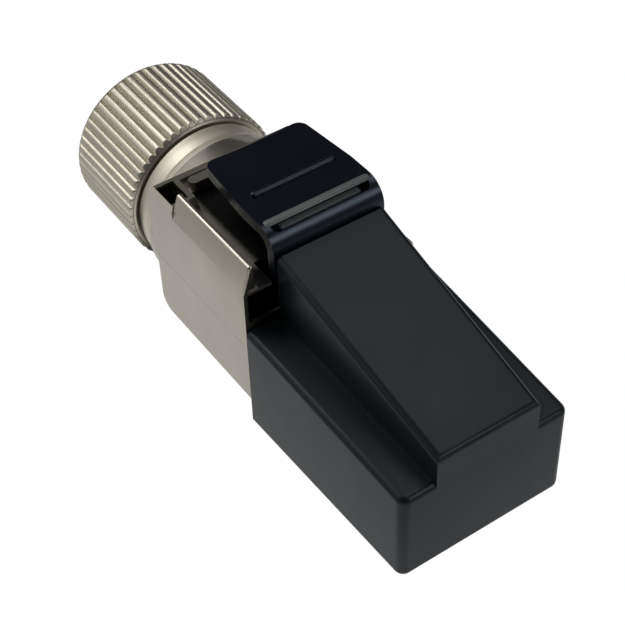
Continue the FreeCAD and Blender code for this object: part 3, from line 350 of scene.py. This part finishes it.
def spread(source, name, material, count, centre, turn_step=0.0, turn_start=0.0, move_step=(0, 0, 0)):
    """Geometry Nodes: copies of one small form, each turned or moved on by a step; gives a mesh."""
    tree = bpy.data.node_groups.new(name, "GeometryNodeTree")
    face = tree.interface
    face.new_socket("Geometry", in_out="INPUT", socket_type="NodeSocketGeometry")
    sockets = {
        "Count": face.new_socket("Count", in_out="INPUT", socket_type="NodeSocketInt"),
        "Turn step": face.new_socket("Turn step", in_out="INPUT", socket_type="NodeSocketFloat"),
        "Turn start": face.new_socket("Turn start", in_out="INPUT", socket_type="NodeSocketFloat"),
        "Move step": face.new_socket("Move step", in_out="INPUT", socket_type="NodeSocketVector"),
        "Centre": face.new_socket("Centre", in_out="INPUT", socket_type="NodeSocketVector"),
        "Material": face.new_socket("Material", in_out="INPUT", socket_type="NodeSocketMaterial"),
    }
    face.new_socket("Geometry", in_out="OUTPUT", socket_type="NodeSocketGeometry")
    given = tree.nodes.new("NodeGroupInput")
    made = tree.nodes.new("NodeGroupOutput")
    points = tree.nodes.new("GeometryNodePoints")
    index = tree.nodes.new("GeometryNodeInputIndex")
    angle = tree.nodes.new("ShaderNodeMath")
    angle.operation = "MULTIPLY_ADD"
    about = tree.nodes.new("ShaderNodeCombineXYZ")
    shift = tree.nodes.new("ShaderNodeVectorMath")
    shift.operation = "SCALE"
    place = tree.nodes.new("ShaderNodeVectorMath")
    place.operation = "ADD"
    copies = tree.nodes.new("GeometryNodeInstanceOnPoints")
    real = tree.nodes.new("GeometryNodeRealizeInstances")
    dress = tree.nodes.new("GeometryNodeSetMaterial")
    wire = tree.links.new
    wire(given.outputs["Count"], points.inputs["Count"])
    wire(index.outputs[0], angle.inputs[0])
    wire(given.outputs["Turn step"], angle.inputs[1])
    wire(given.outputs["Turn start"], angle.inputs[2])
    wire(angle.outputs[0], about.inputs["Y"])
    wire(given.outputs["Move step"], shift.inputs[0])
    wire(index.outputs[0], shift.inputs["Scale"])
    wire(shift.outputs[0], place.inputs[0])
    wire(given.outputs["Centre"], place.inputs[1])
    wire(place.outputs[0], points.inputs["Position"])
    wire(points.outputs[0], copies.inputs["Points"])
    wire(given.outputs["Geometry"], copies.inputs["Instance"])
    wire(about.outputs[0], copies.inputs["Rotation"])
    wire(copies.outputs[0], real.inputs[0])
    wire(real.outputs[0], dress.inputs["Geometry"])
    wire(given.outputs["Material"], dress.inputs["Material"])
    wire(dress.outputs[0], made.inputs[0])
    form = bpy.data.objects.new(name, source)
    scene.collection.objects.link(form)
    modifier = form.modifiers.new(name, "NODES")
    modifier.node_group = tree
    values = {
        "Count": count, "Turn step": turn_step, "Turn start": turn_start,
        "Move step": move_step, "Centre": centre, "Material": material,
    }
    for label, value in values.items():
        modifier[sockets[label].identifier] = value
    bpy.context.view_layer.update()
    seen_form = form.evaluated_get(bpy.context.evaluated_depsgraph_get())
    mesh = bpy.data.meshes.new_from_object(seen_form)
    form.modifiers.clear()
    bpy.data.objects.remove(form)
    return mesh


def on_bar_top(a, b):
    """Whether an edge is on top of one of the two grip bars."""
    return any(abs(a.z - top) < near and abs(b.z - top) < near for top in bar_heights)


lever_plastic = moulded_plastic(
    "lever_plastic", lever_colour, lever_roughness, lever_grain, lever_grain_depth,
    shine=lever_shine, tint=lever_sheen,
)
# The serrations and the brow get the painted highlight.
painted_highlight_plastic = moulded_plastic("painted_highlight_plastic", painted_highlight_colour, painted_highlight_roughness, lever_grain, lever_grain_depth)
lever = finished_copy("latch_lever", "thumb_lever", lever_edge, softer=on_bar_top, soft_width=bar_edge)
give(lever, lever_plastic)
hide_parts("latch_lever")
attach(lever, "latch")

first_serration = Vector(serration_middle) - Vector((0, serration_pitch * (serration_count - 1) / 2, 0))
serrations = spread(
    rounded_bar(*serration_size), "grip_serrations", painted_highlight_plastic, serration_count,
    centre=first_serration * MM, move_step=(0, serration_pitch * MM, 0),
)
brow = spread(rounded_bar(*brow_size), "brow", painted_highlight_plastic, 1, centre=Vector(brow_place) * MM)
for name, mesh in (("grip_serrations", serrations), ("plate_brow", brow)):
    for face in mesh.polygons:
        face.use_smooth = True
    grip = bpy.data.objects.new(name, mesh)
    scene.collection.objects.link(grip)
    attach(grip, "latch")

# Upper housing
# Zinc die casting, blasted and nickel plated: latch deck with a leaning rail, open latch bay at
# the front, square pocket and lug at the rear. It closes on the lower casting.
casting_edge = 0.05
rail_edge = 0.18
casting_colour = (0.415, 0.385, 0.325, 1.0)
casting_roughness = 0.33
casting_grain, casting_grain_depth = 0.12, 0.014
# Painted shade: the near-black colour that the plating is mixed towards down in the recesses.
painted_shade_colour = (0.006, 0.006, 0.006, 1.0)
painted_shade_grit = 0.09
deck_metal_left = 0.62
long_edge = 1.0
deck_level = rail_top - 2.05
# Each recess is a box of sides: the axis, where its painted shade starts and where it is full.
deck_band = [("Z", deck_level - 0.06, deck_level - 0.03), ("Z", deck_level + 0.2, deck_level + 0.1)]
latch_bay = [
    ("X", -housing_side + 0.24, -housing_side + 0.32),
    ("Y", housing_front + 0.265, housing_front + 0.425),
    ("Y", housing_front + 2.725, housing_front + 2.325),
    ("Z", deck_level - 4.1, deck_level - 4.0),
    ("Z", deck_level - 0.02, deck_level - 0.18),
]
deck_by_lever = deck_band + [
    ("X", -lever_side - 0.45, -lever_side + 0.3),
    ("X", lever_side + 0.45, lever_side - 0.3),
    ("Y", housing_front + 12.425, housing_front + 11.925),
]
deck_front = deck_band + [
    ("X", -housing_side + 0.7, -housing_side + 1.4),
    ("X", housing_side - 0.7, housing_side - 1.4),
    ("Y", housing_front + 2.325, housing_front + 1.225),
]
square_pocket = [
    ("X", -housing_side + 0.18, -housing_side + 0.22),
    ("X", -housing_side + 1.62, -housing_side + 1.58),
    ("Y", housing_front + 9.375, housing_front + 9.425),
    ("Y", housing_front + 11.525, housing_front + 11.485),
    ("Z", rail_top - 1.2, rail_top - 1.45),
]
whole_deck = [
    ("X", -housing_side + 0.3, -housing_side + 0.5),
    ("X", housing_side - 0.3, housing_side - 0.5),
    ("Z", deck_level - 0.15, deck_level - 0.1),
    ("Z", deck_level + 0.2, deck_level + 0.1),
]


def nickel_plate(name, colour, roughness, grain, depth, unevenness=0.10):
    """Nickel over a casting or a turned part: warm grey metal with a fine grain and soft clouds."""
    cloud_scale = 420.0
    gloss_spread = 0.06
    material = bpy.data.materials.new(name)
    material.use_nodes = True
    nodes, links = material.node_tree.nodes, material.node_tree.links
    shader = nodes["Principled BSDF"]
    shader.inputs["Metallic"].default_value = 1.0
    place = nodes.new("ShaderNodeTexCoord")
    fine = nodes.new("ShaderNodeTexNoise")
    fine.inputs["Scale"].default_value = 1.0 / (grain * MM)
    fine.inputs["Detail"].default_value = 4.0
    wide = nodes.new("ShaderNodeTexNoise")
    wide.inputs["Scale"].default_value = cloud_scale
    wide.inputs["Detail"].default_value = 5.0
    links.new(place.outputs["Object"], fine.inputs["Vector"])
    links.new(place.outputs["Object"], wide.inputs["Vector"])
    shade = nodes.new("ShaderNodeMix")
    shade.data_type = "RGBA"
    shade.inputs["A"].default_value = tuple(c * (1 - unevenness) for c in colour[:3]) + (1.0,)
    shade.inputs["B"].default_value = tuple(min(1.0, c * (1 + unevenness)) for c in colour[:3]) + (1.0,)
    links.new(wide.outputs["Fac"], shade.inputs["Factor"])
    links.new(shade.outputs["Result"], shader.inputs["Base Color"])
    gloss = nodes.new("ShaderNodeMapRange")
    gloss.inputs["To Min"].default_value = roughness - gloss_spread
    gloss.inputs["To Max"].default_value = roughness + gloss_spread
    links.new(fine.outputs["Fac"], gloss.inputs["Value"])
    links.new(gloss.outputs["Result"], shader.inputs["Roughness"])
    bump = nodes.new("ShaderNodeBump")
    bump.inputs["Strength"].default_value = 0.5
    bump.inputs["Distance"].default_value = depth * MM
    links.new(fine.outputs["Fac"], bump.inputs["Height"])
    links.new(bump.outputs["Normal"], shader.inputs["Normal"])
    return material


def joined(material, operation, first, second):
    """Two shares as one, by a multiplication or the greater of both; the first may be missing."""
    if first is None:
        return second
    node = material.node_tree.nodes.new("ShaderNodeMath")
    node.operation = operation
    material.node_tree.links.new(first, node.inputs[0])
    material.node_tree.links.new(second, node.inputs[1])
    return node.outputs[0]


def mask(material, boxes):
    """One inside any of the boxes, whose sides fade from start to full; in millimetres."""
    nodes, links = material.node_tree.nodes, material.node_tree.links
    place = nodes.new("ShaderNodeTexCoord")
    parts = nodes.new("ShaderNodeSeparateXYZ")
    links.new(place.outputs["Object"], parts.inputs[0])
    within_any = None
    for box in boxes:
        within = None
        for axis, start, full in box:
            ramp = nodes.new("ShaderNodeMapRange")
            ramp.interpolation_type = "SMOOTHSTEP"
            ramp.inputs["From Min"].default_value = start * MM
            ramp.inputs["From Max"].default_value = full * MM
            links.new(parts.outputs[axis], ramp.inputs["Value"])
            within = joined(material, "MULTIPLY", within, ramp.outputs["Result"])
        within_any = joined(material, "MAXIMUM", within_any, within)
    return within_any


def paint_shade_in_recesses(material, boxes, least=0.9, most=1.3):
    """Painted shade: the plating's colour mixed towards near black down in the recesses, with a fine grit
    between the two shares.
    """
    nodes, links = material.node_tree.nodes, material.node_tree.links
    shader = nodes["Principled BSDF"]
    colour_link = shader.inputs["Base Color"].links[0].from_socket
    place = nodes.new("ShaderNodeTexCoord")
    grit = nodes.new("ShaderNodeTexNoise")
    grit.inputs["Scale"].default_value = 1.0 / (painted_shade_grit * MM)
    grit.inputs["Detail"].default_value = 2.0
    links.new(place.outputs["Object"], grit.inputs["Vector"])
    rough = nodes.new("ShaderNodeMapRange")
    rough.inputs["From Min"].default_value = 0.3
    rough.inputs["From Max"].default_value = 0.7
    rough.inputs["To Min"].default_value = least
    rough.inputs["To Max"].default_value = most
    links.new(grit.outputs["Fac"], rough.inputs["Value"])
    painted_shade_share = nodes.new("ShaderNodeMath")
    painted_shade_share.operation = "MULTIPLY"
    painted_shade_share.use_clamp = True
    links.new(mask(material, boxes), painted_shade_share.inputs[0])
    links.new(rough.outputs["Result"], painted_shade_share.inputs[1])
    darker = nodes.new("ShaderNodeMix")
    darker.data_type = "RGBA"
    darker.inputs["B"].default_value = painted_shade_colour
    links.new(painted_shade_share.outputs[0], darker.inputs["Factor"])
    links.new(colour_link, darker.inputs["A"])
    links.new(darker.outputs["Result"], shader.inputs["Base Color"])


def blast(material, boxes, metal_left):
    """Coarsely blasted plating that scatters light: only part of the metal's mirroring is left."""
    nodes, links = material.node_tree.nodes, material.node_tree.links
    left = nodes.new("ShaderNodeMapRange")
    left.inputs["To Min"].default_value = 1.0
    left.inputs["To Max"].default_value = metal_left
    links.new(mask(material, boxes), left.inputs["Value"])
    links.new(left.outputs["Result"], nodes["Principled BSDF"].inputs["Metallic"])


def on_rail(a, b):
    """Whether an edge is a long one on top of the rail, or one round the rail's front end."""
    on_top = abs(a.z - rail_top) < near and abs(b.z - rail_top) < near
    in_front = max(abs(a.y - housing_front), abs(b.y - housing_front)) < near
    return (on_top and abs(a.y - b.y) > long_edge) or (in_front and max(a.z, b.z) > rail_top - 0.05)


casting_nickel = nickel_plate(
    "casting_nickel", casting_colour, casting_roughness, casting_grain, casting_grain_depth,
)
# Painted shade: the plating is coloured near black in the latch bay, on the deck by the lever and at its
# front, and in the square pocket.
paint_shade_in_recesses(casting_nickel, [latch_bay, deck_by_lever, deck_front, square_pocket])
blast(casting_nickel, [whole_deck], deck_metal_left)
upper = finished_copy("upper_housing", "upper_casting", casting_edge, softer=on_rail, soft_width=rail_edge)
give(upper, casting_nickel)
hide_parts("upper_housing")
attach(upper, "housing")

# Lower housing
# The tray under the parting line, from the same alloy and with the same plating. It holds the
# insert, the board and half of the neck's seat.
lower = finished_copy("lower_housing", "lower_casting", casting_edge)
give(lower, casting_nickel)
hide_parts("lower_housing")
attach(lower, "housing")

# Neck collar
# Turned from brass bar and nickel plated: stepped collar in view, gland thread under the nut,
# and a key ring that the two castings clasp. Shade is painted into its plating low down, in the
# gap before the nut.
nut_low, nut_high = node_box("gland_nut")
nut_front, nut_rear = nut_low.y, nut_high.y
axis_height = (nut_low.z + nut_high.z) / 2
collar_edge = 0.04
# Painted light: the collar's plating is coloured lighter than the nut's, which has the same nickel.
collar_plating_painted_lighter = (0.66, 0.615, 0.51, 1.0)
turned_roughness = 0.38
collar_roughness = 0.50
turned_grain, turned_grain_depth = 0.06, 0.001
# Painted shade: the box low down before the nut where the collar's plating is painted darker.
low_gap = [
    ("Y", nut_front - 1.225, nut_front - 0.325),
    ("Z", axis_height + 3.2, axis_height - 0.3),
]

collar_nickel = nickel_plate(
    "collar_nickel", collar_plating_painted_lighter, collar_roughness, turned_grain, turned_grain_depth,
)
paint_shade_in_recesses(collar_nickel, [low_gap], 0.9, 1.0)
collar = finished_copy("neck_collar", "stepped_collar", collar_edge)
give(collar, collar_nickel)
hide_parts("neck_collar")
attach(collar, "housing")

# Gland nut
# Turned and straight-knurled, with the same plating; it screws over the neck and draws the
# thrust ring against the collet. A turned core carries fifty rolled ridges with bevelled ends.
nut_crest = round((nut_high.z - nut_low.z) / 2, 2)
nut_root = nut_crest - 0.23
nut_bore = nut_crest - 1.34
nut_ring_seat = nut_crest - 1.20
nut_hole = nut_crest - 2.10
nut_seat_end = nut_rear - 1.15
nut_seat_start = nut_seat_end - 0.71
nut_bore_end = nut_seat_start - 0.54
nut_front_chamfer = 0.35
nut_rear_round = 0.60
nut_steps = 200
ridge_count = 50
ridge_turn = 2 * math.pi / ridge_count
ridge_side = [(0.385, 0.25), (0.335, 0.17), (0.275, 0.08), (0.19, 0.025), (0.09, 0.004)]
ridge_front_steps = [0.13, 0.20, 0.28, 0.35, 0.45]
ridge_rear_steps = [0.60, 0.45, 0.32, 0.22, 0.15, 0.11]
# Painted shade: the nut's plating is the collar's nickel, coloured darker.
nut_plating_painted_darker = (0.51, 0.475, 0.39, 1.0)
knurl_roughness = 0.42
# Painted shade: the box at the nut's lower front where its plating is painted darker.
low_front = [
    ("Y", nut_front + 1.175, nut_front + 0.075),
    ("Z", axis_height - 0.3, axis_height - 3.8),
    ("X", 0.0, -2.5),
]


def rear_height(from_rear):
    """Radius of the rounded rear edge at a distance from the rear face."""
    rest = max(nut_rear_round - from_rear, 0.0)
    return nut_crest - nut_rear_round + math.sqrt(nut_rear_round ** 2 - rest ** 2)


def turned_body(corners, steps):
    """Closed ring turned round the cable axis: corners are (place along the axis, radius)."""
    rings = bmesh.new()
    rows = []
    for step in range(steps):
        swing = 2 * math.pi * step / steps
        rows.append([
            rings.verts.new(Vector((
                radius * math.sin(swing), along, axis_height + radius * math.cos(swing)
            )) * MM)
            for along, radius in corners
        ])
    for row, after in zip(rows, rows[1:] + rows[:1]):
        for i in range(len(corners)):
            j = (i + 1) % len(corners)
            rings.faces.new((row[i], row[j], after[j], after[i]))
    bmesh.ops.recalc_face_normals(rings, faces=rings.faces)
    return rings


def knurl_ridge():
    """One rolled ridge along Y at the crest, its front end bevelled and its rear end rounded."""
    section = [(-across, drop) for across, drop in ridge_side] + [(0.0, 0.0)] + ridge_side[::-1]
    stations = [
        (nut_front + gap, min(nut_crest, nut_crest - nut_front_chamfer + gap))
        for gap in ridge_front_steps
    ] + [(nut_rear - gap, rear_height(gap)) for gap in ridge_rear_steps]
    ridge = bmesh.new()
    rows = []
    for along, crest in stations:
        rows.append([
            ridge.verts.new(Vector((across, along, min(nut_crest - drop, crest))) * MM)
            for across, drop in section
        ])
    for row, after in zip(rows, rows[1:]):
        for i in range(len(section) - 1):
            ridge.faces.new((row[i], after[i], after[i + 1], row[i + 1]))
    bmesh.ops.recalc_face_normals(ridge, faces=ridge.faces)
    if sum(face.normal.z for face in ridge.faces) < 0:
        bmesh.ops.reverse_faces(ridge, faces=ridge.faces)
    mesh = bpy.data.meshes.new("knurl_ridge")
    ridge.to_mesh(mesh)
    ridge.free()
    return mesh


knurl_nickel = nickel_plate(
    "knurl_nickel", nut_plating_painted_darker, knurl_roughness, turned_grain, turned_grain_depth,
)
paint_shade_in_recesses(knurl_nickel, [low_front], 0.9, 1.0)
ridges = spread(
    knurl_ridge(), "knurl", knurl_nickel, ridge_count, centre=(0, 0, axis_height * MM),
    turn_step=ridge_turn, turn_start=ridge_turn / 2,
)
core = turned_body([
    (nut_front, nut_bore),
    (nut_front, nut_crest - nut_front_chamfer - 0.04),
    (nut_front + 0.04, nut_crest - nut_front_chamfer),
    (nut_front + 0.12, nut_root - 0.03),
    (nut_front + 0.2, nut_root),
    (nut_rear - 0.15, nut_root),
    (nut_rear - 0.10, rear_height(0.10)),
    (nut_rear - 0.05, rear_height(0.05)),
    (nut_rear - 0.015, rear_height(0.015)),
    (nut_rear, nut_crest - nut_rear_round),
    (nut_rear, nut_hole + 0.08),
    (nut_rear - 0.08, nut_hole),
    (nut_seat_end, nut_hole),
    (nut_seat_end, nut_ring_seat),
    (nut_seat_start, nut_ring_seat),
    (nut_bore_end, nut_bore),
], nut_steps)
core.from_mesh(ridges)
nut_mesh = bpy.data.meshes.new("knurled_nut")
core.to_mesh(nut_mesh)
core.free()
for face in nut_mesh.polygons:
    face.use_smooth = True
nut_mesh.set_sharp_from_angle(angle=crisp_bend)
nut = bpy.data.objects.new("knurled_nut", nut_mesh)
scene.collection.objects.link(nut)
give(nut, knurl_nickel)
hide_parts("gland_nut")
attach(nut, "nut")

# Nose under the cap
# Moulded black insert that enters the jack, with eight gilt blades pressed into its comb slots.
# A sleeve of nickel-plated sheet is folded round it and springs against the jack.
insert_colour = (0.055, 0.055, 0.060, 1.0)
gilt_colour = (0.86, 0.66, 0.26, 1.0)
sheet_colour = (0.66, 0.63, 0.56, 1.0)
wire_count = 8

insert_plastic = moulded_plastic("insert_plastic", insert_colour, roughness=0.42)
gilt = nickel_plate("gilt_contact", gilt_colour, roughness=0.20, grain=0.08, depth=0.002, unevenness=0.05)
sheet_nickel = nickel_plate("sheet_nickel", sheet_colour, roughness=0.24, grain=0.08, depth=0.003)
give(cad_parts["plug_nose"], insert_plastic)
give(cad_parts["nose_shield"], sheet_nickel)
for number in range(1, wire_count + 1):
    give(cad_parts[f"contact_{number}"], gilt)

# Board and wire contacts
# Green lacquered board that carries eight tinned fork contacts, which cut into the wires. They
# stand in a moulded black carrier, under a natural white comb that presses the wires home.
lacquer_colour = (0.03, 0.17, 0.07, 1.0)
comb_colour = (0.72, 0.71, 0.67, 1.0)
tin_colour = (0.70, 0.69, 0.66, 1.0)

board_lacquer = moulded_plastic("board_lacquer", lacquer_colour, roughness=0.30, grain=0.2, depth=0.003)
comb_plastic = moulded_plastic("comb_plastic", comb_colour, roughness=0.45, mottle=0.03)
fork_tin = nickel_plate("fork_tin", tin_colour, roughness=0.28, grain=0.08, depth=0.003)
give(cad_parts["circuit_board"], board_lacquer)
give(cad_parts["idc_carrier"], insert_plastic)
give(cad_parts["wire_manager"], comb_plastic)
for number in range(1, wire_count + 1):
    give(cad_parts[f"idc_contact_{number}"], fork_tin)

# Clamp inside the gland
# An open ring of spring sheet presses on the cable's braid. Behind it the nut drives a white
# thrust washer against a split black collet, which closes on a rubber sleeve and the cable.
collet_colour = (0.045, 0.045, 0.05, 1.0)
rubber_colour = (0.020, 0.020, 0.021, 1.0)

collet_plastic = moulded_plastic("collet_plastic", collet_colour, roughness=0.45)
seal_rubber = moulded_plastic("seal_rubber", rubber_colour, roughness=0.65, grain=0.03, depth=0.004)
give(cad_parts["shield_spring"], sheet_nickel)
give(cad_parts["clamp_collet"], collet_plastic)
give(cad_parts["cable_seal"], seal_rubber)
give(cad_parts["thrust_ring"], comb_plastic)
